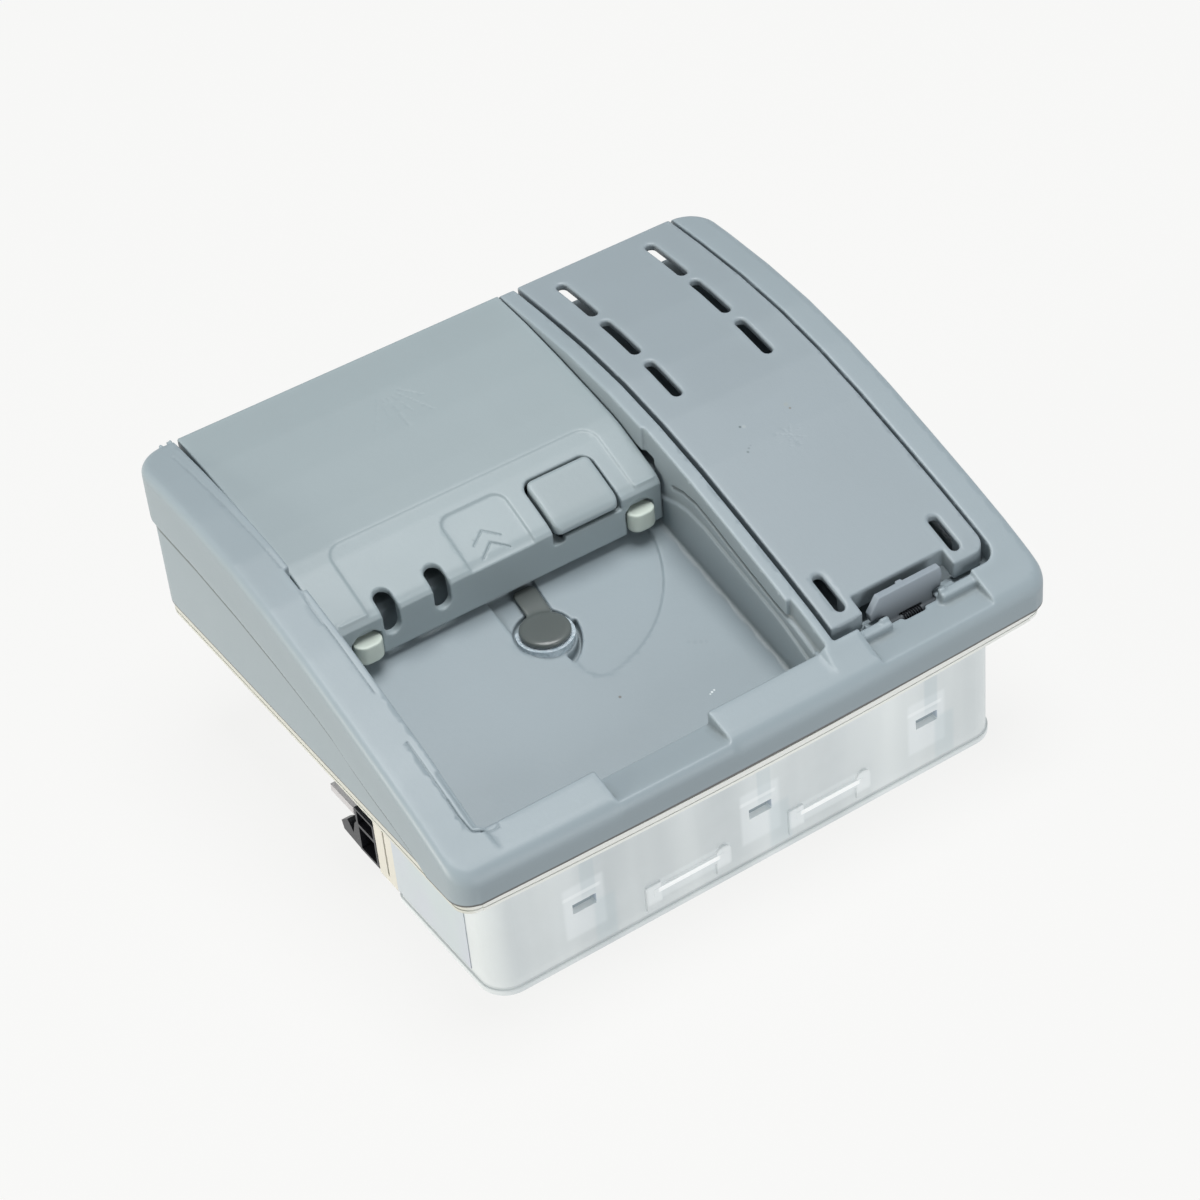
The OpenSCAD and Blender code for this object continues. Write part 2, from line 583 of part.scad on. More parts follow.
module release_lever() placed() color([0.40, 0.41, 0.40]) at_lever() {
    union() {
        translate([0, 0, 0.45]) cylinder(r = cap_r, h = 1.2);
        translate([0, 0, 1.6]) cylinder(r = cap_r - 0.35, h = 0.25);
        translate([0, 0, 1.8]) cylinder(r = cap_r - 0.9, h = 0.2);
        arm_slope() translate([0, 0, -0.45]) linear_extrude(1.05) arm_plan();
        translate([0, 0, -11.2]) cylinder(r = 2.5, h = 12);
    }
}

module lever_seal() placed() color([0.82, 0.86, 0.87, 0.8]) at_lever() difference() {
    union() {
        translate([0, 0, -0.9]) cylinder(r = 7.4, h = 1.1);
        // stands on the sloping floor in front
        intersection() {
            translate([0, 0, -2.6]) cylinder(r = 7.4, h = 2);
            px(-9, 9, [[-9, -9 * floor_slope], [0, 0], [9, 0], [9, 3], [-9, 3]]);
        }
    }
    translate([0, 0, -3]) cylinder(r = 2.6, h = 6);
    translate([-7.6, 4.4, -1]) cube([15.2, 8, 3]);
    for (a = [0:5:25]) translate([0, 0, -0.65]) rotate([0, 0, a]) linear_extrude(4) arm_plan(0.4);
}

module drive_crank() placed() color([0.90, 0.89, 0.84]) at_lever() difference() {
    union() {
        translate([0, 0, -11.2]) cylinder(r = 4.2, h = 2.9);
        rotate([0, 0, -swing]) {
            bx([-2.2, -crank_r, -11.2], [2.2, crank_r, -8.9]);
            for (s = [-1, 1]) translate([0, s * crank_r, -11.2]) cylinder(r = 2.2, h = 2.3);
            for (s = [-1, 1]) translate([0, s * crank_r, -14]) cylinder(r = 1.5, h = 3);
        }
    }
    translate([0, 0, -12]) cylinder(r = 2.5, h = 5);
}

module lever_return_spring() placed() color([0.72, 0.73, 0.75]) at_lever()
    translate([0, 0, -7.9]) coil(6.2, 0.4, 3.9, 3);

module actuator_body() placed() color([0.87, 0.81, 0.69]) difference() {
    union() {
        bx([10, 52.8, -40.3], [26.8, 61.4, -1]);
        at_lever() cx(-37.5, -26, rod_y, -12.6, 3, 32);
        // cover step
        bx([26.8, 53.6, -39], [26.9, 60.6, -12]);
    }
    at_lever() cx(-48, -24, rod_y, -12.6, 2.06, 32);
    bx([9, 56.4, -38], [10.6, 57.2, -4]);
}

module crank_eye(s) difference() {
    bx([s * pin_x - 4, s * pin_y - 4, -13.6],
        [s * pin_x + 4, s * pin_y + 4, -11.6]);
    bx([s * pin_x - 1.8, s * pin_y - 2.3, -15],
        [s * pin_x + 1.8, s * pin_y + 2.3, -11]);
}
module actuator_plunger() placed() color([0.75, 0.76, 0.78]) at_lever() union() {
    crank_eye(-1);
    cx(-20, -5.9, -pin_y, -12.6, 2, 32);
    bx([-21.5, -pin_y - 2, -14.6], [-18, rod_y + 2, -10.6]);
    cx(-44, -20, rod_y, -12.6, 2, 32);
}

module connector_housing() placed() color([0.10, 0.10, 0.11]) difference() {
    union() {
        bx([9.9, 61.5, -39.2], [26.6, 70.6, -25]);
        px(9.9, 12.4, [[70.5, -39], [78.4, -38.3], [79.2, -35.8], [75.8, -33], [75, -33.6],
            [73.2, -35.6], [71.8, -31.4], [70.5, -29.8]]);
    }
    bx([9, 62.3, -30], [22, 69.7, -25.7]);
    bx([9, 62.3, -38.4], [22, 69.7, -31]);
}

module contact_blades() placed() color([0.80, 0.70, 0.42]) union() {
    for (z = [-28.2, -35.1]) for (y = [63.7, 67.2]) bx([15.4, y, z], [22, y + 0.8, z + 2.2]);
}

module side_label() placed() color([0.85, 0.89, 0.93])
    bx([9.75, 19, -39.3], [10, 52.4, -1.2]);

module rinse_tank() placed() color([0.88, 0.90, 0.90, 0.8]) difference() {
    union() {
        bx([114.2, 26, -38], [158.6, 133, 4]);
        translate([138, 85, 3]) cylinder(r = neck_r + 1.4, h = 27.1);
        at_lever() cx(44.2, 51, pin_y, -12.6, 6.2, 48);
    }
    difference() {
        bx([116, 27.8, -36.2], [156.8, 131.2, 2.2]);
        at_lever() cx(44.2, 66.5, pin_y, -12.6, 6.2, 48);
        translate([150, 112, -37]) cylinder(r = 1.5, h = 40, $fn = 32);
    }
    translate([138, 85, 0]) cylinder(r = neck_r, h = 40);
    at_lever() cx(47.5, 68, pin_y, -12.6, 4.66, 48);
    at_lever() cx(40, 50, pin_y, -12.6, 1.86, 32);
}

module dosing_piston() placed() color([0.30, 0.42, 0.55]) at_lever() difference() {
    union() {
        crank_eye(1);
        cx(5.8, 54, pin_y, -12.6, 1.8, 32);
        cx(53.5, 59.5, pin_y, -12.6, 4.6, 48);
    }
    difference() {
        cx(55.6, 57.4, pin_y, -12.6, 6, 48);
        cx(55, 58, pin_y, -12.6, 3.4, 48);
    }
}

module dosing_seal() placed() color([0.15, 0.15, 0.16]) at_lever() difference() {
    cx(55.6, 57.4, pin_y, -12.6, 4.6, 48);
    cx(55, 58, pin_y, -12.6, 3.4, 48);
}

module float() placed() color([0.85, 0.30, 0.20]) translate([150, 112, -36.1]) difference() {
    cylinder(r = 6, h = 8);
    translate([0, 0, -1]) cylinder(r = 1.58, h = 10, $fn = 32);
}

front_frame();
flange_gasket();
rear_housing();
sliding_lid();
lid_buffer_left();
lid_buffer_right();
release_button();
button_spring();
lid_spring();
rinse_lid();
rinse_lid_seal();
rinse_lid_latch();
latch_spring();
release_lever();
lever_seal();
drive_crank();
lever_return_spring();
actuator_body();
actuator_plunger();
connector_housing();
contact_blades();
side_label();
rinse_tank();
dosing_piston();
dosing_seal();
float();
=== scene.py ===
import bpy
import math
import time
import numpy as np
import openvdb as vdb
from mathutils import Matrix, Vector


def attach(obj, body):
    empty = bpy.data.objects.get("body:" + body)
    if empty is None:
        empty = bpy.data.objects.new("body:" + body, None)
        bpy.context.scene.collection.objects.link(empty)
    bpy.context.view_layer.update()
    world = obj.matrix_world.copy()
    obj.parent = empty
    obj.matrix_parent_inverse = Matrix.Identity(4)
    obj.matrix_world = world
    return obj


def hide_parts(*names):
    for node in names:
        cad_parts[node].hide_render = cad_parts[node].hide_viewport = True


T0 = time.time()
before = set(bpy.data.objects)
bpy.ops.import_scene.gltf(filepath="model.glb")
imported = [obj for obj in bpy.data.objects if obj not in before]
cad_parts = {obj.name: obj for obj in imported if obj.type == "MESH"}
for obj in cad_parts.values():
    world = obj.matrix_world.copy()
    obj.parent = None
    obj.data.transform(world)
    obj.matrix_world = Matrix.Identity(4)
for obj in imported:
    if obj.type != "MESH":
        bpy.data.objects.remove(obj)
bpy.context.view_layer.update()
OFF = np.array([86.0, 72.85, -42.0])      # row frame in mm -> work frame in mm
scene = bpy.context.scene


def W(x, y, z):
    """A point of the work frame (mm from the flange's front left corner) in the row frame, in metres."""
    return Vector(((x - 86.0) / 1000, (y - 72.85) / 1000, (z + 42.0) / 1000))


# ---------------------------------------------------------------- camera and light
def make_camera():
    R = np.array([[0.8261, -0.5583, -0.0769], [-0.4095, -0.5010, -0.7624], [0.3871, 0.6613, -0.6425]])
    u, _, v = np.linalg.svd(R)
    R = u @ v
    t = np.array([-31.06, 71.09, 729.99])
    pos = -R.T @ t
    cam = bpy.data.cameras.new("camera")
    cam.lens, cam.sensor_width, cam.sensor_fit = 97.5, 36.0, "AUTO"
    cam.clip_start, cam.clip_end = 0.05, 20
    ob = bpy.data.objects.new("camera", cam)
    scene.collection.objects.link(ob)
    m = Matrix.Identity(4)
    for r in range(3):
        m[r][0], m[r][1], m[r][2] = R[0, r], -R[1, r], -R[2, r]
    p = W(*pos)
    m[0][3], m[1][3], m[2][3] = p
    ob.matrix_world = m
    scene.camera = ob


def area(name, loc, target, size, power, color=(1, 1, 1), spread=180):
    li = bpy.data.lights.new(name, "AREA")
    li.shape, li.size, li.energy, li.color = "DISK", size, power, color
    li.spread = math.radians(spread)
    ob = bpy.data.objects.new(name, li)
    scene.collection.objects.link(ob)
    ob.location = loc
    d = Vector(target) - Vector(loc)
    ob.rotation_mode = "QUATERNION"
    ob.rotation_quaternion = d.to_track_quat("-Z", "Y")


def make_stage():
    scene.view_settings.view_transform = "Standard"
    scene.view_settings.look = "None"
    w = bpy.data.worlds.new("studio")
    scene.world = w
    w.use_nodes = True
    bg = w.node_tree.nodes["Background"]
    bg.inputs["Color"].default_value = (0.97, 0.985, 1.0, 1)
    bg.inputs["Strength"].default_value = 0.30
    # a large soft light overhead, slightly to the back left; weak warm ones low on the left and in front
    area("key", (0.1, 0.02, 1.6), (0, 0, 0.05), 1.05, 25.5, (1.0, 1.0, 1.0))
    area("left", (-1.35, 0.15, 0.16), (0, 0, 0.05), 0.8, 20.5, (1.0, 0.945, 0.86))
    area("front", (0.25, -1.5, 0.4), (0, 0, 0.05), 0.8, 7.2, (0.98, 0.99, 1.0))
    me = bpy.data.meshes.new("floor")
    s = 6.0
    me.from_pydata([(-s, -s, 0), (s, -s, 0), (s, s, 0), (-s, s, 0)], [], [(0, 1, 2, 3)])
    floor = bpy.data.objects.new("floor", me)
    scene.collection.objects.link(floor)
    m = bpy.data.materials.new("floor")
    m.use_nodes = True
    b = m.node_tree.nodes["Principled BSDF"]
    b.inputs["Base Color"].default_value = (0.06, 0.06, 0.06, 1)
    b.inputs["Roughness"].default_value = 0.85
    b.inputs["Specular IOR Level"].default_value = 0.1
    b.inputs["Emission Color"].default_value = (1.0, 1.0, 0.99, 1)
    b.inputs["Emission Strength"].default_value = 0.85
    me.materials.append(m)


# ---------------------------------------------------------------- materials
class Nodes:
    def __init__(self, name):
        self.m = bpy.data.materials.new(name)
        self.m.use_nodes = True
        self.t = self.m.node_tree
        self.b = self.t.nodes["Principled BSDF"]
        self.out = self.t.nodes["Material Output"]
        tc = self.t.nodes.new("ShaderNodeTexCoord")
        self.co = tc.outputs["Object"]

    def n(self, kind, **kw):
        nd = self.t.nodes.new(kind)
        for k, v in kw.items():
            setattr(nd, k, v)
        return nd

    def link(self, a, b):
        self.t.links.new(a, b)

    def noise(self, scale, detail=3.0, rough=0.5, stretch=None, kind="noise"):
        if kind == "noise":
            nd = self.n("ShaderNodeTexNoise")
            nd.inputs["Scale"].default_value = scale
            nd.inputs["Detail"].default_value = detail
            nd.inputs["Roughness"].default_value = rough
            out = nd.outputs["Fac"]
        else:
            nd = self.n("ShaderNodeTexVoronoi")
            nd.inputs["Scale"].default_value = scale
            out = nd.outputs["Distance"]
        if stretch:
            mp = self.n("ShaderNodeMapping")
            mp.inputs["Scale"].default_value = stretch
            self.link(self.co, mp.inputs["Vector"])
            self.link(mp.outputs["Vector"], nd.inputs["Vector"])
        else:
            self.link(self.co, nd.inputs["Vector"])
        return out

    def ramp(self, x, stops):
        r = self.n("ShaderNodeValToRGB")
        e = r.color_ramp.elements
        while len(e) < len(stops):
            e.new(0.5)
        for i, (p, c) in enumerate(stops):
            e[i].position = p
            e[i].color = c if len(c) == 4 else (*c, 1)
        self.link(x, r.inputs["Fac"])
        return r.outputs["Color"]

    def math(self, op, a, b=None, clamp=False):
        nd = self.n("ShaderNodeMath", operation=op, use_clamp=clamp)
        for i, v in enumerate((a, b)):
            if v is None:
                continue
            if isinstance(v, (int, float)):
                nd.inputs[i].default_value = v
            else:
                self.link(v, nd.inputs[i])
        return nd.outputs[0]

    def mix(self, fac, a, b, blend="MIX"):
        nd = self.n("ShaderNodeMix", data_type="RGBA", blend_type=blend)
        for name, v in (("Factor", fac), ("A", a), ("B", b)):
            s = [i for i in nd.inputs if i.name == name and (i.type == ("VALUE" if name == "Factor" else "RGBA"))][0]
            if isinstance(v, (int, float)):
                s.default_value = v
            elif isinstance(v, tuple):
                s.default_value = (*v, 1) if len(v) == 3 else v
            else:
                self.link(v, s)
        return [o for o in nd.outputs if o.type == "RGBA"][0]

    def attr(self, name):
        nd = self.n("ShaderNodeAttribute", attribute_name=name)
        return nd.outputs["Fac"]

    def bump(self, height, strength, dist, normal=None):
        nd = self.n("ShaderNodeBump")
        nd.inputs["Strength"].default_value = strength
        nd.inputs["Distance"].default_value = dist
        self.link(height, nd.inputs["Height"])
        if normal is not None:
            self.link(normal, nd.inputs["Normal"])
        return nd.outputs["Normal"]


def lin(r, g, b):
    """sRGB 0..255 to linear."""
    f = lambda v: (v / 255 / 12.92) if v <= 10.3 else ((v / 255 + 0.055) / 1.055) ** 2.4
    return (f(r), f(g), f(b))


def scaled(c, k):
    return tuple(min(1.0, v * k) for v in c)


def plastic(name, rgb, rough=0.42, grain=0.35, warm=0.0, coat=0.0, var=0.03, grime_shade_wear_sheen=True, marks=(), seam_and_step_shade=False, foot_shade=None, left=None):
    """Moulded plastic: spark-eroded grain, slow drifts of tone, darker creases (grime plus painted shade) and lighter
    edges (wear plus painted highlight) where the mesh has them; optionally painted shade along the seam and side step,
    at the foot and on the left side; marks add specks and painted glints.
    """
    k = Nodes(name)
    base = lin(*rgb)
    slow = k.noise(9.0, 2.0)
    col = k.ramp(slow, [(0.30, scaled(base, 1 - var)), (0.70, scaled(base, 1 + var))])
    cloud = k.noise(55.0, 4.0, 0.6)
    col = k.mix(k.math("MULTIPLY", k.math("SUBTRACT", cloud, 0.5, True), 0.5, True), col,
                scaled((base[0] * 1.02, base[1] * 1.0, base[2] * 0.96), 0.9))
    if grime_shade_wear_sheen:
        # creases darker: grime spots plus painted shade where less light reaches
        cav = k.attr("cavity")
        spots = k.noise(420.0, 4.0, 0.65)
        g = k.math("MULTIPLY", cav, k.math("ADD", k.math("MULTIPLY", spots, 0.9), 0.25), True)
        col = k.mix(k.math("MULTIPLY", g, 0.6, True), col, scaled((base[0] * 0.95, base[1] * 0.92, base[2] * 0.85), 0.62))
        # edges lighter: wear plus a painted highlight
        edge = k.attr("edge")
        col = k.mix(k.math("MULTIPLY", edge, 0.35, True), col, scaled(base, 1.22))
    if seam_and_step_shade:
        # painted shade: a dark brown line along the flange's lower outer edge, where the joint to the gasket lies in
        # shadow
        sep = k.n("ShaderNodeSeparateXYZ")
        k.link(k.co, sep.inputs[0])
        mr = k.n("ShaderNodeMapRange", interpolation_type="SMOOTHSTEP")
        k.link(sep.outputs[2], mr.inputs["Value"])
        mr.inputs["From Min"].default_value = 0.0426
        mr.inputs["From Max"].default_value = 0.0431
        mr.inputs["To Min"].default_value = 0.85
        mr.inputs["To Max"].default_value = 0.0
        outer = k.math("ADD", k.math("GREATER_THAN", k.math("ABSOLUTE", sep.outputs[0]), 0.0838),
                       k.math("LESS_THAN", sep.outputs[1], -0.07065), True)
        edge = k.math("MULTIPLY", k.math("GREATER_THAN", sep.outputs[2], 0.0419), outer)
        col = k.mix(k.math("MULTIPLY", mr.outputs["Result"], edge), col, lin(66, 60, 52))
        # shade under the step that runs along the sides
        along = k.math("ADD", k.math("MULTIPLY", sep.outputs[1], 1 / 0.15), 0.07285 / 0.15)
        step = k.ramp(along, [(py / 150, (pz / 50,) * 3) for py, pz in STEP])
        below = k.math("SUBTRACT", k.math("MULTIPLY", step, 0.05), k.math("SUBTRACT", sep.outputs[2], 0.042))
        mr = k.n("ShaderNodeMapRange", interpolation_type="SMOOTHSTEP")
        k.link(below, mr.inputs["Value"])
        mr.inputs["From Min"].default_value = 0.0021
        mr.inputs["From Max"].default_value = 0.0028
        mr.inputs["To Min"].default_value = 0.85
        mr.inputs["To Max"].default_value = 0.0
        side = k.math("MULTIPLY", k.math("GREATER_THAN", k.math("ABSOLUTE", sep.outputs[0]), 0.0838),
                      k.math("GREATER_THAN", below, 0.0))
        col = k.mix(k.math("MULTIPLY", mr.outputs["Result"], side), col, lin(78, 86, 84))
    # specks and scuffs; the near-white ones on the frame are a painted glint
    for (mx, my, mz), rad, rgb2, amount in marks:
        vm = k.n("ShaderNodeVectorMath", operation="DISTANCE")
        k.link(k.co, vm.inputs[0])
        vm.inputs[1].default_value = W(mx, my, mz)
        mr = k.n("ShaderNodeMapRange", interpolation_type="SMOOTHSTEP")
        k.link(vm.outputs["Value"], mr.inputs["Value"])
        mr.inputs["From Min"].default_value = rad * 0.0003
        mr.inputs["From Max"].default_value = rad * 0.001
        mr.inputs["To Min"].default_value = amount
        mr.inputs["To Max"].default_value = 0.0
        col = k.mix(mr.outputs["Result"], col, lin(*rgb2))
    if left:
        # painted shade: the part's left side darker, as if in the flange's shade
        sep = k.n("ShaderNodeSeparateXYZ")
        k.link(k.co, sep.inputs[0])
        mr = k.n("ShaderNodeMapRange", interpolation_type="SMOOTHSTEP")
        k.link(sep.outputs[0], mr.inputs["Value"])
        mr.inputs["From Min"].default_value = -0.0842
        mr.inputs["From Max"].default_value = -0.0800
        mr.inputs["To Min"].default_value = 0.9
        mr.inputs["To Max"].default_value = 0.0
        col = k.mix(mr.outputs["Result"], col, lin(*left))
    if foot_shade:
        # painted shade: darker towards the bottom of the part, the latch tab's foot in shadow
        sep = k.n("ShaderNodeSeparateXYZ")
        k.link(k.co, sep.inputs[0])
        mr = k.n("ShaderNodeMapRange", interpolation_type="SMOOTHSTEP")
        k.link(sep.outputs[2], mr.inputs["Value"])
        mr.inputs["From Min"].default_value = 0.042 + foot_shade[0] * 0.001
        mr.inputs["From Max"].default_value = 0.042 + foot_shade[1] * 0.001
        mr.inputs["To Min"].default_value = foot_shade[2]
        mr.inputs["To Max"].default_value = 0.0
        col = k.mix(mr.outputs["Result"], col, scaled(base, 0.22))
    k.link(col, k.b.inputs["Base Color"])
    fine = k.noise(5200.0, 2.0, 0.5)
    mid = k.noise(900.0, 3.0, 0.5)
    h = k.math("ADD", fine, k.math("MULTIPLY", mid, 1.4))
    k.link(k.bump(h, grain, 0.00004), k.b.inputs["Normal"])
    rr = k.noise(38.0, 4.0, 0.6)
    k.link(k.math("ADD", k.math("MULTIPLY", rr, 0.16), rough - 0.08), k.b.inputs["Roughness"])
    k.b.inputs["Specular IOR Level"].default_value = 0.45
    if coat:
        k.b.inputs["Coat Weight"].default_value = coat
        k.b.inputs["Coat Roughness"].default_value = 0.15
    return k.m


def metal(name, rgb, rough=0.28, brushed=(1, 1, 1)):
    k = Nodes(name)
    base = lin(*rgb)
    n = k.noise(700.0, 4.0, 0.6, stretch=brushed)
    k.link(k.ramp(n, [(0.35, scaled(base, 0.85)), (0.7, scaled(base, 1.08))]), k.b.inputs["Base Color"])
    k.b.inputs["Metallic"].default_value = 1.0
    k.link(k.math("ADD", k.math("MULTIPLY", n, 0.25), rough - 0.1), k.b.inputs["Roughness"])
    k.link(k.bump(n, 0.15, 0.00002), k.b.inputs["Normal"])
    return k.m


def milky(name, rgb, rough=0.36, clear=0.35, thick=0.5):
    """Milky translucent moulding: part of the light goes through, spread by the haze."""
    k = Nodes(name)
    base = lin(*rgb)
    t, out = k.t, k.out
    haze = k.noise(26.0, 3.0, 0.55, stretch=(1.0, 1.0, 0.35))
    col = k.ramp(haze, [(0.3, scaled(base, 0.975)), (0.7, scaled(base, 1.02))])
    k.link(col, k.b.inputs["Base Color"])
    k.b.inputs["Roughness"].default_value = rough
    k.b.inputs["Specular IOR Level"].default_value = 0.4
    fine = k.noise(1500.0, 3.0, 0.6)
    nrm = k.bump(fine, 0.12, 0.00005)
    k.link(nrm, k.b.inputs["Normal"])
    tl = k.n("ShaderNodeBsdfTranslucent")
    k.link(col, tl.inputs["Color"])
    tr = k.n("ShaderNodeBsdfTransparent")
    tr.inputs["Color"].default_value = (0.93, 0.95, 0.96, 1)
    m1 = k.n("ShaderNodeMixShader")
    m1.inputs[0].default_value = thick
    k.link(k.b.outputs[0], m1.inputs[1])
    k.link(tl.outputs[0], m1.inputs[2])
    m2 = k.n("ShaderNodeMixShader")
    lw = k.n("ShaderNodeLayerWeight")
    lw.inputs["Blend"].default_value = 0.35
    f = k.math("MULTIPLY", k.math("SUBTRACT", 1.0, lw.outputs["Facing"], True), clear)
    k.link(f, m2.inputs[0])
    k.link(m1.outputs[0], m2.inputs[1])
    k.link(tr.outputs[0], m2.inputs[2])
    k.link(m2.outputs[0], out.inputs["Surface"])
    return k.m


def shell(name):
    """Milky housing: bright haze, soft upright bands, lighter clip plates and snap bars (painted highlights), painted
    shade beside the plates and in the slits, and a faint glow of painted light.
    """
    k = Nodes(name)
    sep = k.n("ShaderNodeSeparateXYZ")
    k.link(k.co, sep.inputs[0])
    x = k.math("ADD", k.math("MULTIPLY", sep.outputs[0], 1000.0), 86.0)
    y = k.math("ADD", k.math("MULTIPLY", sep.outputs[1], 1000.0), 72.85)
    z = k.math("SUBTRACT", k.math("MULTIPLY", sep.outputs[2], 1000.0), 42.0)

    def near(v, c, half, soft):
        """1 where |v - c| < half, fading out over soft."""
        d = k.math("ABSOLUTE", k.math("SUBTRACT", v, c))
        mr = k.n("ShaderNodeMapRange", interpolation_type="SMOOTHSTEP")
        k.link(d, mr.inputs["Value"])
        mr.inputs["From Min"].default_value = half
        mr.inputs["From Max"].default_value = half + soft
        mr.inputs["To Min"].default_value = 1.0
        mr.inputs["To Max"].default_value = 0.0
        return mr.outputs["Result"]

    front = near(y, 6.0, 6.0, 1.5)
    bands = k.noise(34.0, 3.0, 0.55, stretch=(1.0, 0.4, 0.10))
    col = k.ramp(bands, [(0.30, lin(189, 195, 197)), (0.50, lin(203, 208, 209)), (0.70, lin(221, 225, 225))])
    cloud = k.noise(60.0, 4.0, 0.6)
    col = k.mix(k.math("MULTIPLY", k.math("SUBTRACT", cloud, 0.45, True), 1.2, True), col, lin(214, 219, 221))
    # clip plates lighter (painted highlight), painted shade along their upright edge and low beside them, the blue-grey
    # slits darkened with painted shade, and a light line above each slit (painted highlight)
    for c in (36.2, 87.5, 138.5):
        plate = k.math("MULTIPLY", k.math("MULTIPLY", near(x, c, 5.0, 1.4), near(z, -26.3, 7.4, 1.6)), front)
        col = k.mix(k.math("MULTIPLY", plate, 0.38), col, lin(234, 238, 240))
        upright = k.math("MULTIPLY", k.math("MULTIPLY", near(x, c + 1.5, 1.6, 0.8), near(z, -12.0, 9.0, 4.0)), front)
        col = k.mix(k.math("MULTIPLY", upright, 0.35), col, lin(176, 189, 194))
        low = k.math("MULTIPLY", k.math("MULTIPLY", near(x, c + 5.5, 2.2, 1.5), near(z, -33.0, 6.0, 2.0)), front)
        col = k.mix(k.math("MULTIPLY", low, 0.35), col, lin(182, 195, 199))
        slit = k.math("MULTIPLY", k.math("MULTIPLY", near(x, c + 0.2, 3.0, 0.4), near(z, -25.2, 1.0, 0.5)), front)
        col = k.mix(k.math("MULTIPLY", slit, 0.8), col, lin(158, 172, 188))
        flange = k.math("MULTIPLY", k.math("MULTIPLY", near(x, c - 0.5, 4.6, 1.2), near(z, -21.2, 0.3, 0.5)), front)
        col = k.mix(k.math("MULTIPLY", flange, 0.5), col, lin(240, 243, 244))
    # snap bars and their end pads lighter, with a near-white line along each bar: painted highlights
    for c in (65.5, 107.9):
        bar = k.math("MULTIPLY", k.math("MULTIPLY", near(x, c, 11.5, 1.2), near(z, -33.6, 2.6, 1.0)), near(y, 7.8, 0.75, 0.2))
        col = k.mix(k.math("MULTIPLY", bar, 0.3), col, lin(236, 240, 241))
        highlight_line = k.math("MULTIPLY", k.math("MULTIPLY", near(x, c, 8.6, 0.8), near(z, -32.9, 0.5, 0.35)), near(y, 7.4, 0.75, 0.3))
        col = k.mix(k.math("MULTIPLY", highlight_line, 0.95), col, lin(254, 255, 255))
        pads = k.math("MULTIPLY", k.math("MULTIPLY", near(k.math("ABSOLUTE", k.math("SUBTRACT", x, c)), 10.3, 1.6, 1.0),
                                         near(z, -33.6, 2.0, 1.4)), near(y, 7.8, 0.75, 0.2))
        col = k.mix(k.math("MULTIPLY", pads, 0.35), col, lin(240, 243, 244))
    # darker line at the base rim
    rim = near(z, -40.3, 0.35, 0.35)
    col = k.mix(k.math("MULTIPLY", rim, 0.45), col, lin(172, 180, 181))
    # guard and wall on the left, in the flange's shade
    ledge = k.math("MULTIPLY", near(x, 10.4, 1.9, 0.3), k.math("MULTIPLY", near(y, 82.0, 30.0, 0.5), near(z, -28.0, 3.0, 0.6)))
    col = k.mix(k.math("MULTIPLY", ledge, 0.85), col, lin(176, 173, 175))
    k.link(col, k.b.inputs["Base Color"])
    # the shell glows with its own colour: painted light standing in for light through the haze
    k.link(col, k.b.inputs["Emission Color"])
    k.b.inputs["Emission Strength"].default_value = 0.26
    k.b.inputs["Roughness"].default_value = 0.34
    k.b.inputs["Specular IOR Level"].default_value = 0.45
    k.link(k.bump(k.noise(1500.0, 3.0, 0.6), 0.1, 0.00005), k.b.inputs["Normal"])
    tl = k.n("ShaderNodeBsdfTranslucent")
    k.link(col, tl.inputs["Color"])
    tr = k.n("ShaderNodeBsdfTransparent")
    tr.inputs["Color"].default_value = (0.95, 0.97, 0.97, 1)
    m1 = k.n("ShaderNodeMixShader")
    m1.inputs[0].default_value = 0.22
    k.link(k.b.outputs[0], m1.inputs[1])
    k.link(tl.outputs[0], m1.inputs[2])
    m2 = k.n("ShaderNodeMixShader")
    lw = k.n("ShaderNodeLayerWeight")
    lw.inputs["Blend"].default_value = 0.35
    k.link(k.math("MULTIPLY", k.math("SUBTRACT", 1.0, lw.outputs["Facing"], True), 0.14), m2.inputs[0])
    k.link(m1.outputs[0], m2.inputs[1])
    k.link(tr.outputs[0], m2.inputs[2])
    k.link(m2.outputs[0], k.out.inputs["Surface"])
    return k.m


def wet(name):
    k = Nodes(name)
    b = k.b
    n = k.noise(700.0, 3.0, 0.6)
    k.link(k.ramp(n, [(0.3, lin(168, 186, 196)), (0.7, lin(214, 226, 234))]), b.inputs["Base Color"])
    b.inputs["Roughness"].default_value = 0.09
    b.inputs["Transmission Weight"].default_value = 0.2
    b.inputs["IOR"].default_value = 1.41
    b.inputs["Coat Weight"].default_value = 1.0
    b.inputs["Coat Roughness"].default_value = 0.04
    nrm = k.bump(n, 0.9, 0.0005)
    k.link(nrm, b.inputs["Normal"])
    k.link(nrm, b.inputs["Coat Normal"])
    return k.m


def label_mat(name):
    """Bare satin label with a faint drift of tint."""
    k = Nodes(name)
    col = k.ramp(k.noise(38.0, 2.0, 0.5, stretch=(1.0, 1.0, 0.5)),
                 [(0.32, lin(174, 185, 189)), (0.5, lin(176, 182, 192)), (0.68, lin(182, 180, 195))])
    k.link(col, k.b.inputs["Base Color"])
    k.link(k.math("ADD", k.math("MULTIPLY", k.noise(120.0, 3.0), 0.2), 0.3), k.b.inputs["Roughness"])
    k.link(k.bump(k.noise(300.0, 3.0, 0.6), 0.15, 0.00005), k.b.inputs["Normal"])
    return k.m


# height of the step along the sides, from front to back (mm)
STEP = [(12.5, -1.5), (21.6, 3.6), (29.8, 6.4), (39.0, 9.0), (46.9, 11.7), (54.8, 15.1), (63, 17.5), (80.6, 21), (99, 23.9),
        (119, 26), (138.8, 27), (150, 27.4)]
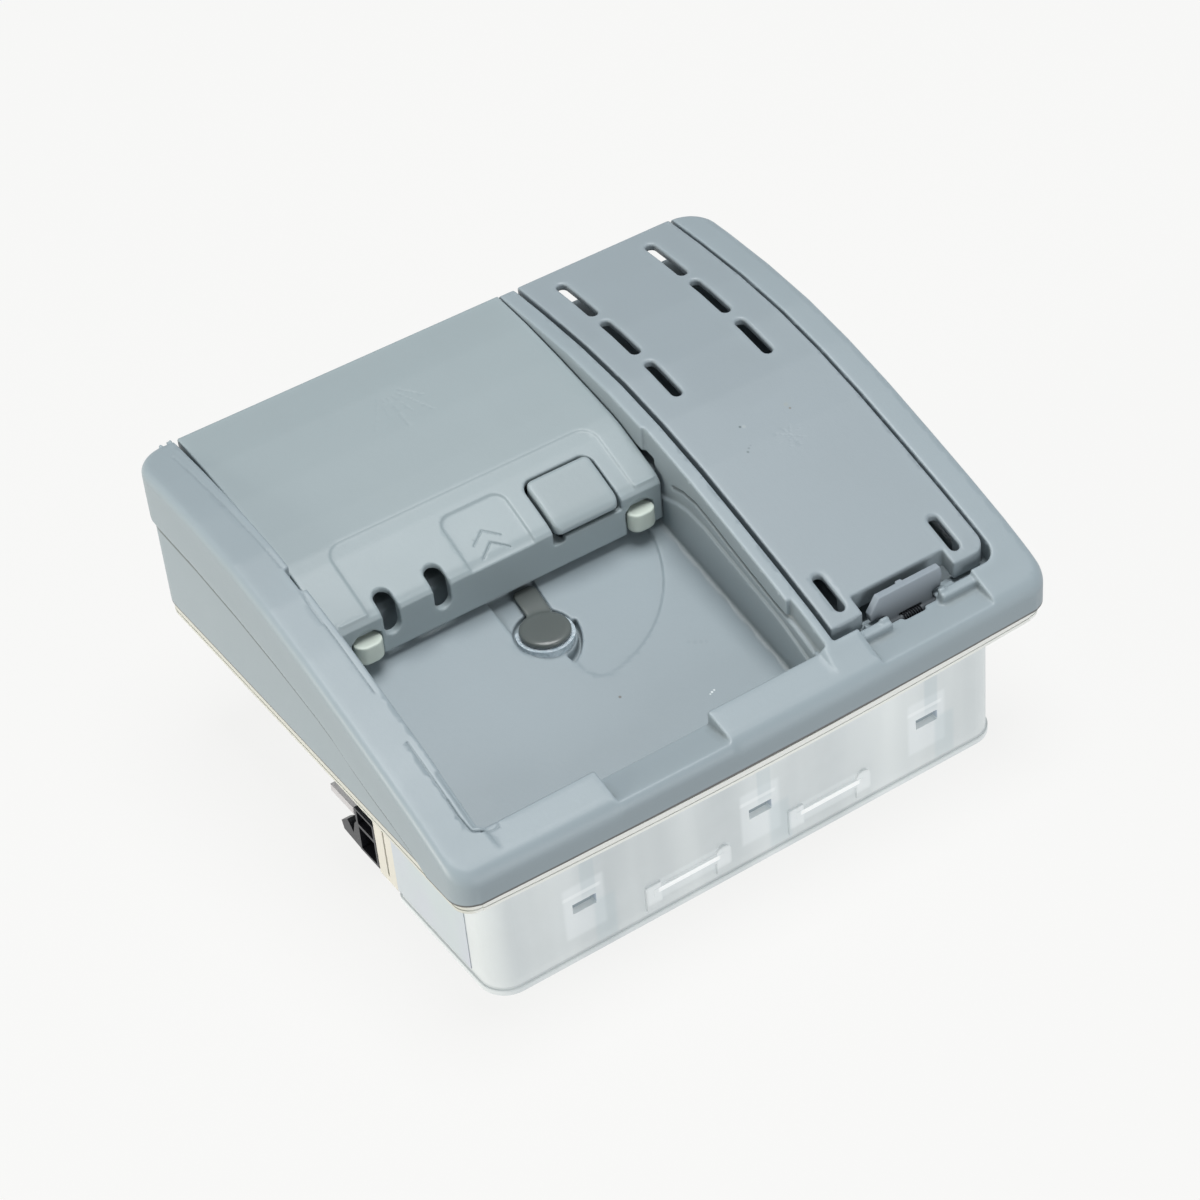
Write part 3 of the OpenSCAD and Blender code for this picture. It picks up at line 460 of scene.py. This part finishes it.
# small scuffs and specks, and on the frame a painted glint (the near-white streak near x 88, y 27): place (mm), radius
# (mm), colour, amount
FRAME_SPECKS_AND_GLINT = [
    ((68.46, 36.83, 1.75), 0.55, (84, 74, 62), 0.75), ((88.2, 26.69, -0.71), 0.42, (226, 232, 234), 0.8),
    ((89.0, 26.9, -0.66), 0.38, (222, 228, 230), 0.7), ((87.5, 26.4, -0.78), 0.34, (222, 228, 230), 0.6),
    ((93.5, 40.9, 2.74), 0.9, (118, 130, 134), 0.25), ((94.8, 40.2, 2.57), 0.8, (118, 130, 134), 0.25),
    ((92.2, 41.7, 2.93), 0.8, (118, 130, 134), 0.2), ((96.0, 39.6, 2.42), 0.7, (118, 130, 134), 0.2)]
FLAP_MARKS = [
    ((130.0, 69.99, 33.63), 0.5, (66, 82, 84), 0.8), ((130.9, 69.6, 33.5), 0.8, (160, 168, 168), 0.35),
    ((144.44, 68.7, 33.28), 0.45, (96, 84, 70), 0.7), ((144.3, 70.1, 33.7), 0.9, (140, 144, 132), 0.3),
    ((127.03, 62.71, 31.61), 0.5, (80, 94, 98), 0.7), ((127.9, 63.5, 31.9), 0.45, (88, 100, 104), 0.5),
    ((128.8, 64.0, 32.1), 0.4, (104, 114, 118), 0.35)]

MAT = {
    "label": label_mat("label_film"),
    "flap": plastic("flap_plastic", (131, 142, 148), marks=FLAP_MARKS),
    "frame": plastic("frame_plastic", (133, 145, 151), marks=FRAME_SPECKS_AND_GLINT, seam_and_step_shade=True),
    "lid": plastic("lid_plastic", (135, 147, 151)),
    # latch: painted shade towards the tab's foot
    "latch": plastic("latch_plastic", (128, 138, 146), foot_shade=(9.0, 16.6, 0.92)),
    # gasket: its left side gets painted shade
    "gasket": plastic("gasket_rubber", (228, 230, 226), rough=0.5, grain=0.2, var=0.015, left=(182, 184, 176)),
    "stop": plastic("stop_plastic", (182, 192, 184), rough=0.4, grain=0.15, var=0.02),
    "dark": plastic("dark_plastic", (85, 91, 90), rough=0.24, grain=0.12, var=0.03),
    "seal": plastic("seal_rubber", (44, 45, 48), rough=0.5, grain=0.2, grime_shade_wear_sheen=False),
    "natural": plastic("natural_plastic", (228, 230, 228), rough=0.45, grain=0.2, grime_shade_wear_sheen=False),
    "beige": plastic("beige_plastic", (199, 198, 189), rough=0.5, grain=0.2, grime_shade_wear_sheen=False),
    "black": plastic("black_plastic", (30, 31, 36), rough=0.35, grain=0.3, grime_shade_wear_sheen=False),
    "blue": plastic("blue_plastic", (70, 96, 130), rough=0.4, grain=0.2, grime_shade_wear_sheen=False),
    "red": plastic("red_plastic", (196, 70, 48), rough=0.4, grain=0.2, grime_shade_wear_sheen=False),
    "steel": metal("spring_steel", (190, 192, 196)),
    # spring steel darkened to read as a shadowed slot: painted shade
    "painted_shade_steel": metal("painted_shade_spring_steel", (40, 42, 46), 0.6),
    "brass": metal("contact_brass", (206, 178, 110)),
    "shell": shell("milky_shell"),
    "tank": milky("milky_tank", (232, 236, 236), clear=0.25),
    "wet": wet("wet_silicone"),
}


def set_mat(ob, mat):
    ob.data.materials.clear()
    ob.data.materials.append(mat)


# ---------------------------------------------------------------- level-set rounding
def tri_mesh(node):
    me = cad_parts[node].data
    co = np.zeros(len(me.vertices) * 3, np.float32)
    me.vertices.foreach_get("co", co)
    me.calc_loop_triangles()
    tri = np.zeros(len(me.loop_triangles) * 3, np.int32)
    me.loop_triangles.foreach_get("vertices", tri)
    return (co.reshape(-1, 3).astype(np.float64) * 1000 + OFF).astype(np.float32), tri.reshape(-1, 3)


class Field:
    """Dense distance field of CAD nodes on a grid of vox mm, in the work frame. Negative inside."""

    def __init__(self, nodes, vox, half=4.0):
        self.vox = vox
        pts, tris, k = [], [], 0
        for n in nodes:
            p, t = tri_mesh(n)
            pts.append(p)
            tris.append(t + k)
            k += len(p)
        g = vdb.FloatGrid.createLevelSetFromPolygons(np.concatenate(pts), triangles=np.concatenate(tris).astype(np.uint32),
                                                     transform=vdb.createLinearTransform(vox), halfWidth=half)
        lo, hi = g.evalActiveVoxelBoundingBox()
        self.lo = np.array(lo) - 3
        self.a = np.full(tuple(np.array(hi) + 4 - self.lo), g.background, np.float32)
        g.copyToArray(self.a, ijk=tuple(int(x) for x in self.lo))
        self.bg = float(g.background)

    def idx(self, x0, y0, z0, x1, y1, z1):
        a = np.floor(np.array([x0, y0, z0]) / self.vox).astype(int) - self.lo
        b = np.ceil(np.array([x1, y1, z1]) / self.vox).astype(int) - self.lo + 1
        a = np.clip(a, 0, np.array(self.a.shape))
        b = np.clip(b, 0, np.array(self.a.shape))
        return tuple(slice(int(p), int(q)) for p, q in zip(a, b))

    def coords(self, sl):
        return [((np.arange(s.start, s.stop) + self.lo[i]) * self.vox).reshape([-1 if j == i else 1 for j in range(3)])
                for i, s in enumerate(sl)]

    def local(self, box, fn):
        """fn(d, x, y, z) -> new d, over a box in mm."""
        sl = self.idx(*box)
        x, y, z = self.coords(sl)
        self.a[sl] = fn(self.a[sl], x, y, z)

    @staticmethod
    def blur(a, s):
        r = max(1, int(math.ceil(2.6 * s)))
        k = np.exp(-0.5 * (np.arange(-r, r + 1) / s) ** 2)
        k = (k / k.sum()).astype(np.float32)
        for ax in range(3):
            out = a * k[r]
            for i in range(1, r + 1):
                sa = [slice(None)] * 3
                sb = [slice(None)] * 3
                sa[ax], sb[ax] = slice(i, None), slice(None, -i)
                out[tuple(sb)] += k[r + i] * a[tuple(sa)]
                out[tuple(sa)] += k[r - i] * a[tuple(sb)]
                ea, eb = [slice(None)] * 3, [slice(None)] * 3
                ea[ax], eb[ax] = slice(-i, None), slice(-1, None)
                out[tuple(ea)] += k[r + i] * a[tuple(eb)]
                ea[ax], eb[ax] = slice(None, i), slice(None, 1)
                out[tuple(ea)] += k[r - i] * a[tuple(eb)]
            a = out
        return a

    def smooth(self, sigma_mm):
        self.a = self.blur(self.a, sigma_mm / self.vox)

    def mesh(self, name, adapt=0.02, attrs=True, split=None):
        """Mesh object of the surface, or two that meet at the plane x = split (mm)."""
        g = vdb.FloatGrid(self.bg)
        g.transform = vdb.createLinearTransform(self.vox)
        g.copyFromArray(self.a, ijk=tuple(int(x) for x in self.lo), tolerance=0.0)
        pts, tris, quads = g.convertToPolygons(isovalue=0.0, adaptivity=adapt)
        pts, tris, quads = np.asarray(pts, np.float64), np.asarray(tris, np.int32), np.asarray(quads, np.int32)
        if split is None:
            return self.build(name, pts, tris, quads, attrs)
        out = []
        for tag, right in (("_left", False), ("_right", True)):
            t = tris[(pts[tris][:, :, 0].mean(1) >= split) == right] if len(tris) else tris
            q = quads[(pts[quads][:, :, 0].mean(1) >= split) == right] if len(quads) else quads
            used = np.unique(np.concatenate([t.ravel(), q.ravel()]))
            new = np.zeros(len(pts), np.int32)
            new[used] = np.arange(len(used))
            out.append(self.build(name + tag, pts[used], new[t], new[q], attrs))
        return out

    def build(self, name, pts, tris, quads, attrs):
        nt, nq = len(tris), len(quads)
        me = bpy.data.meshes.new(name)
        me.vertices.add(len(pts))
        me.vertices.foreach_set("co", ((pts - OFF) / 1000).astype(np.float32).ravel())
        loops = np.concatenate([np.asarray(tris, np.int32).ravel(), np.asarray(quads, np.int32).ravel()])
        me.loops.add(len(loops))
        me.loops.foreach_set("vertex_index", loops)
        me.polygons.add(nt + nq)
        start = np.concatenate([np.arange(nt) * 3, nt * 3 + np.arange(nq) * 4]).astype(np.int32)
        me.polygons.foreach_set("loop_start", start)
        me.update(calc_edges=True)
        me.validate()
        # normals from the field's own gradient
        f = pts / self.vox - self.lo
        i = np.clip(np.floor(f).astype(int), 1, np.array(self.a.shape) - 3)
        w = f - i
        grad = np.zeros_like(pts)
        for dx in (0, 1):
            for dy in (0, 1):
                for dz in (0, 1):
                    c = ((w[:, 0] if dx else 1 - w[:, 0]) * (w[:, 1] if dy else 1 - w[:, 1]) * (w[:, 2] if dz else 1 - w[:, 2]))
                    X, Y, Z = i[:, 0] + dx, i[:, 1] + dy, i[:, 2] + dz
                    grad[:, 0] += c * (self.a[X + 1, Y, Z] - self.a[X - 1, Y, Z])
                    grad[:, 1] += c * (self.a[X, Y + 1, Z] - self.a[X, Y - 1, Z])
                    grad[:, 2] += c * (self.a[X, Y, Z + 1] - self.a[X, Y, Z - 1])
        grad /= np.maximum(np.linalg.norm(grad, axis=1, keepdims=True), 1e-9)
        # polygons must wind outward
        p0, p1, p2 = (pts[loops[start + j]] for j in range(3))
        nn = np.cross(p1 - p0, p2 - p0)
        if (nn * grad[loops[start]]).sum() < 0:
            me.flip_normals()
        if attrs:
            wide = self.blur(np.clip(self.a[::2, ::2, ::2], -1.0, 1.0), 0.5 / self.vox)
            h = f / 2
            j = np.clip(np.floor(h).astype(int), 0, np.array(wide.shape) - 2)
            v = h - j
            bend = np.zeros(len(pts))
            for dx in (0, 1):
                for dy in (0, 1):
                    for dz in (0, 1):
                        c = ((v[:, 0] if dx else 1 - v[:, 0]) * (v[:, 1] if dy else 1 - v[:, 1])
                             * (v[:, 2] if dz else 1 - v[:, 2]))
                        bend += c * wide[j[:, 0] + dx, j[:, 1] + dy, j[:, 2] + dz]
            # cavity and edge drive the materials' darker creases (grime plus painted shade) and lighter edges (wear
            # plus painted highlight)
            for key, val in (("cavity", np.clip(-bend / 0.22, 0, 1)), ("edge", np.clip(bend / 0.22, 0, 1))):
                at = me.attributes.new(key, "FLOAT", "POINT")
                at.data.foreach_set("value", val.astype(np.float32))
        me.polygons.foreach_set("use_smooth", np.ones(len(me.polygons), bool))
        me.normals_split_custom_set_from_vertices(grad.astype(np.float32))
        ob = bpy.data.objects.new(name, me)
        scene.collection.objects.link(ob)
        print("MESH", name, "verts", len(pts), "tris", nt, "quads", nq, "triangles", nt + 2 * nq, "t %.1f" % (time.time() - T0))
        return ob


def place(ob, body, slot, mat, *nodes):
    set_mat(ob, mat)
    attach(ob, body)
    if nodes:
        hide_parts(*nodes)
    return ob


make_camera()
make_stage()


# profiles of the outer surface of the frame's bands and flap, and of the lid: (y, z) from front to back
BAND = np.array([(-4, 6.4), (0, 8.4), (1.5, 9.1), (6.7, 11.3), (12, 13.7), (18.1, 16.3), (31.4, 21.2), (47.3, 26.6),
                 (63.6, 31.9), (80.2, 36.4), (96.7, 39.7), (114, 41.6), (131.9, 42.3), (152, 42.3)])
LID_TOP = np.array([(74, 24.7), (75, 26), (76.5, 27), (81.1, 29.1), (90.3, 33), (94, 34.1), (103.1, 36),
                    (117.3, 38.7), (132.6, 41.1), (146.2, 42.4)])


DECK = np.array([(-4, 7.5), (-1.3, 8.62), (10.4, 11.7), (12, 12.1)])


def height(prof, y):
    """Height of a profile at y, and the cosine of its slope."""
    z = np.interp(y, prof[:, 0], prof[:, 1])
    slope = (np.interp(y + 0.4, prof[:, 0], prof[:, 1]) - np.interp(y - 0.4, prof[:, 0], prof[:, 1])) / 0.8
    return z, 1 / np.sqrt(1 + slope * slope)


def smoothstep(a, b, v):
    t = np.clip((v - a) / (b - a), 0, 1)
    return t * t * (3 - 2 * t)


def line_dist(x, y, pts):
    """Distance in plan from a line through pts."""
    d = None
    for (ax, ay), (bx, by) in zip(pts[:-1], pts[1:]):
        vx, vy = bx - ax, by - ay
        t = np.clip(((x - ax) * vx + (y - ay) * vy) / max(vx * vx + vy * vy, 1e-9), 0, 1)
        e = np.hypot(x - ax - t * vx, y - ay - t * vy)
        d = e if d is None else np.minimum(d, e)
    return d


def rounded(a, b, r):
    """Both inside a and inside b, with the edge between them rounded to r."""
    u, v = a + r, b + r
    return np.hypot(np.maximum(u, 0), np.maximum(v, 0)) + np.minimum(np.maximum(u, v), 0) - r


def groove(pts, prof, half, depth, taper=0.0):
    """Edit that cuts a groove of half width half and given depth along pts into a surface with profile prof."""
    xs, ys = [p[0] for p in pts], [p[1] for p in pts]
    zs = np.interp(ys, prof[:, 0], prof[:, 1])
    m = half + 1.0
    box = (min(xs) - m, min(ys) - m, min(zs) - depth - 1.5, max(xs) + m, max(ys) + m, max(zs) + 1.5)

    def fn(d, x, y, z):
        top, c = height(prof, y)
        below = (top - z) * c
        w = half * (1 - taper * np.clip(below / depth, 0, 1))
        return np.maximum(d, -np.maximum(line_dist(x, y, pts) - w, below - depth))
    return box, fn


def slot_rim(pts, width, prof, r):
    """Edit that rounds the upper edge of a slot along pts."""
    xs, ys = [p[0] for p in pts], [p[1] for p in pts]
    zs = np.interp(ys, prof[:, 0], prof[:, 1])
    m = width / 2 + r + 0.6
    box = (min(xs) - m, min(ys) - m, min(zs) - r - 1.5, max(xs) + m, max(ys) + m, max(zs) + 1.5)

    def fn(d, x, y, z):
        top, c = height(prof, y)
        return np.maximum(d, rounded(width / 2 - line_dist(x, y, pts), (z - top) * c, r))
    return box, fn


def plan_dist(x, y):
    """Distance from the flange's outline in plan, negative inside."""
    yy = y + 1.3 * (1 - ((x - 86) / 86) ** 2) * np.clip(1 - y / 40, 0, 1)
    r = np.where(yy < 73.5, 6.0, 9.0)
    qx, qy = np.abs(x - 86) - 86 + r, np.abs(yy - 73.5) - 73.5 + r
    return np.minimum(np.maximum(qx, qy), 0) + np.hypot(np.maximum(qx, 0), np.maximum(qy, 0)) - r


def outer_edge(d, x, y, z):
    """Soft edge between the flange's top and its sides; crisp at the finger notch."""
    top, c = height(BAND, y)
    r = 3.0 - 0.9 * smoothstep(2, 9, y)
    notch = smoothstep(42.6, 44.4, x) * (1 - smoothstep(75.4, 77.2, x)) * (1 - smoothstep(3, 5, y))
    r = r * (1 - notch) + 2.2 * notch
    return np.maximum(d, rounded(plan_dist(x, y), (z - top) * c, r))


def ball(px, py, pz, rad):
    """Edit that adds a small bead."""
    def fn(d, x, y, z):
        return np.minimum(d, np.sqrt((x - px) ** 2 + (y - py) ** 2 + (z - pz) ** 2) - rad)
    return (px - 2, py - 2, pz - 2, px + 2, py + 2, pz + 2), fn


def moulded(name, nodes, vox, sigma, adapt, before=(), after=(), split=None):
    f = Field(nodes, vox)
    for box, fn in before:
        f.local(box, fn)
    f.smooth(sigma)
    for box, fn in after:
        f.local(box, fn)
    return f.mesh(name, adapt, split=split)


def fill(prof, depth):
    """Edit that fills narrow gaps just below a surface."""
    def fn(d, x, y, z):
        top, c = height(prof, y)
        e = (z - top) * c
        return np.minimum(d, np.maximum(e, -e - depth))
    return fn


def side_wall(d, x, y, z):
    """Brings the side wall above the step out flush with the band."""
    step = np.interp(y, [p[0] for p in STEP], [p[1] for p in STEP])
    return np.minimum(d, np.maximum(np.maximum(plan_dist(x, y), -1.8 - plan_dist(x, y)), np.maximum((step - z) * 0.95, -z)))


frame_edges = [((-1, 6, -1, 2.4, 62, 18), side_wall), ((169.6, 6, -1, 173, 62, 18), side_wall),
               ((9.7, 11.2, 9, 10.95, 36, 24), fill(BAND, 2.5)), ((9.7, 49, 22, 10.95, 71.5, 36), fill(BAND, 2.5)),
               ((-3, -3, 3, 6, 150, 46), outer_edge), ((166, -3, 3, 175, 150, 46), outer_edge),
               ((6, -3, 3, 166, 6, 46), outer_edge), ((6, 141, 3, 166, 150, 46), outer_edge)]
frame_cuts = [
    groove([(10.4, 70.8), (10.4, 49.3)], BAND, 0.17, 0.4, 0.5),
    groove([(10.0, 35), (9.88, 22), (9.85, 14.5)], BAND, 0.2, 0.45, 0.4),
    groove([(9.88, 19), (9.85, 14.5), (10.2, 11.5), (10.6, 9.9), (12.6, 9.1)], BAND, 0.24, 0.7, 0.4),
    groove([(12.4, 9.15), (15.4, 8.6), (16.7, 8.8), (17.2, 9.6), (16.9, 10.3)], DECK, 0.2, 0.35, 0.4),
    groove([(9.2, 140), (10.0, 118), (10.8, 89.9)], BAND, 0.28, 0.22, 0.8),
    groove([(10.9, 81.3), (10.3, 76), (10.3, 70.8)], BAND, 0.28, 0.3, 0.8),
    ball(9.0, 146.4, 41.9, 0.5), ball(11.7, 146.5, 42.0, 0.45), ball(10.9, 146.6, 42.0, 0.3)]
for half in moulded("frame_moulding", ["front_frame"], 0.3, 0.21, 0.02, frame_edges, frame_cuts, 90.0):
    place(half, "base", "frame_grey", MAT["frame"], "front_frame")

lid_cuts = [
    groove([(56.9, 79.56), (60.99, 82.25), (64.68, 79.21)], LID_TOP - (0, 0.75), 0.22, 0.45, 0.5),
    groove([(57.19, 75.99), (61.17, 78.78), (64.91, 75.86)], LID_TOP - (0, 0.75), 0.25, 0.55, 0.5)]
for k in range(6):
    a = math.radians(-124 + 15 * k)
    ca, sa = math.cos(a), math.sin(a)
    lid_cuts.append(groove([(64.5 + 5 * ca, 134 + 5 * sa), (64.5 + (16 - k % 2 * 4) * ca, 134 + (16 - k % 2 * 4) * sa)],
                           LID_TOP, 0.3, 0.05, 0.8))
for x in (29.7, 44.0):
    lid_cuts.append(slot_rim([(x, 68.0), (x, 77.7)], 4.6, LID_TOP, 0.9))
lid = moulded("lid_moulding", ["sliding_lid"], 0.25, 0.2, 0.015, (), lid_cuts)
place(lid, "lid", "lid_grey", MAT["lid"], "sliding_lid")

flap_cuts = []
for x in (123.3, 151.4):
    for y0, y1 in ((124.6, 138.8), (105.5, 118.5), (87.6, 98.8)):
        flap_cuts.append(slot_rim([(x, y0), (x, y1)], 2.8, BAND, 0.75))
flap_cuts.append(slot_rim([(119.9, 17.3), (119.9, 25.3)], 2.8, BAND, 0.75))
flap_cuts.append(slot_rim([(155.2, 17.7), (155.2, 25.3)], 2.8, BAND, 0.75))
for a in range(4):
    ca, sa = math.cos(math.radians(45 * a + 10)), math.sin(math.radians(45 * a + 10))
    flap_cuts.append(groove([(139.3 - 3.4 * ca, 61.9 - 3.4 * sa), (139.3 + 3.4 * ca, 61.9 + 3.4 * sa)], BAND, 0.22, 0.04, 0.8))
flap = moulded("flap_moulding", ["rinse_lid"], 0.25, 0.2, 0.015, (), flap_cuts)
place(flap, "flap", "frame_grey", MAT["flap"], "rinse_lid")
btn = moulded("button_moulding", ["release_button"], 0.2, 0.42, 0.01)
place(btn, "button", "lid_grey", MAT["lid"], "release_button")
lat = moulded("latch_moulding", ["rinse_lid_latch"], 0.12, 0.12, 0.01)
place(lat, "latch", "frame_grey", MAT["latch"], "rinse_lid_latch")
lev = moulded("lever_moulding", ["release_lever"], 0.15, 0.26, 0.01)
place(lev, "lever", "lever_dark", MAT["dark"], "release_lever")
for s in ("left", "right"):
    b = moulded("buffer_" + s, ["lid_buffer_" + s], 0.15, 0.25, 0.01)
    place(b, "lid", "stop_white", MAT["stop"], "lid_buffer_" + s)

CAD_MATS = {
    "flange_gasket": "gasket", "rear_housing": "shell", "button_spring": "steel", "lid_spring": "steel",
    "rinse_lid_seal": "seal", "latch_spring": "painted_shade_steel", "lever_seal": "wet", "drive_crank": "natural",
    "lever_return_spring": "steel", "actuator_body": "beige", "actuator_plunger": "steel", "connector_housing": "black",
    "contact_blades": "brass", "side_label": "label", "rinse_tank": "tank", "dosing_piston": "blue",
    "dosing_seal": "seal", "float": "red"}
for node, key in CAD_MATS.items():
    set_mat(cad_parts[node], MAT[key])

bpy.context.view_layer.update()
print("SCRIPT %.1f s" % (time.time() - T0))
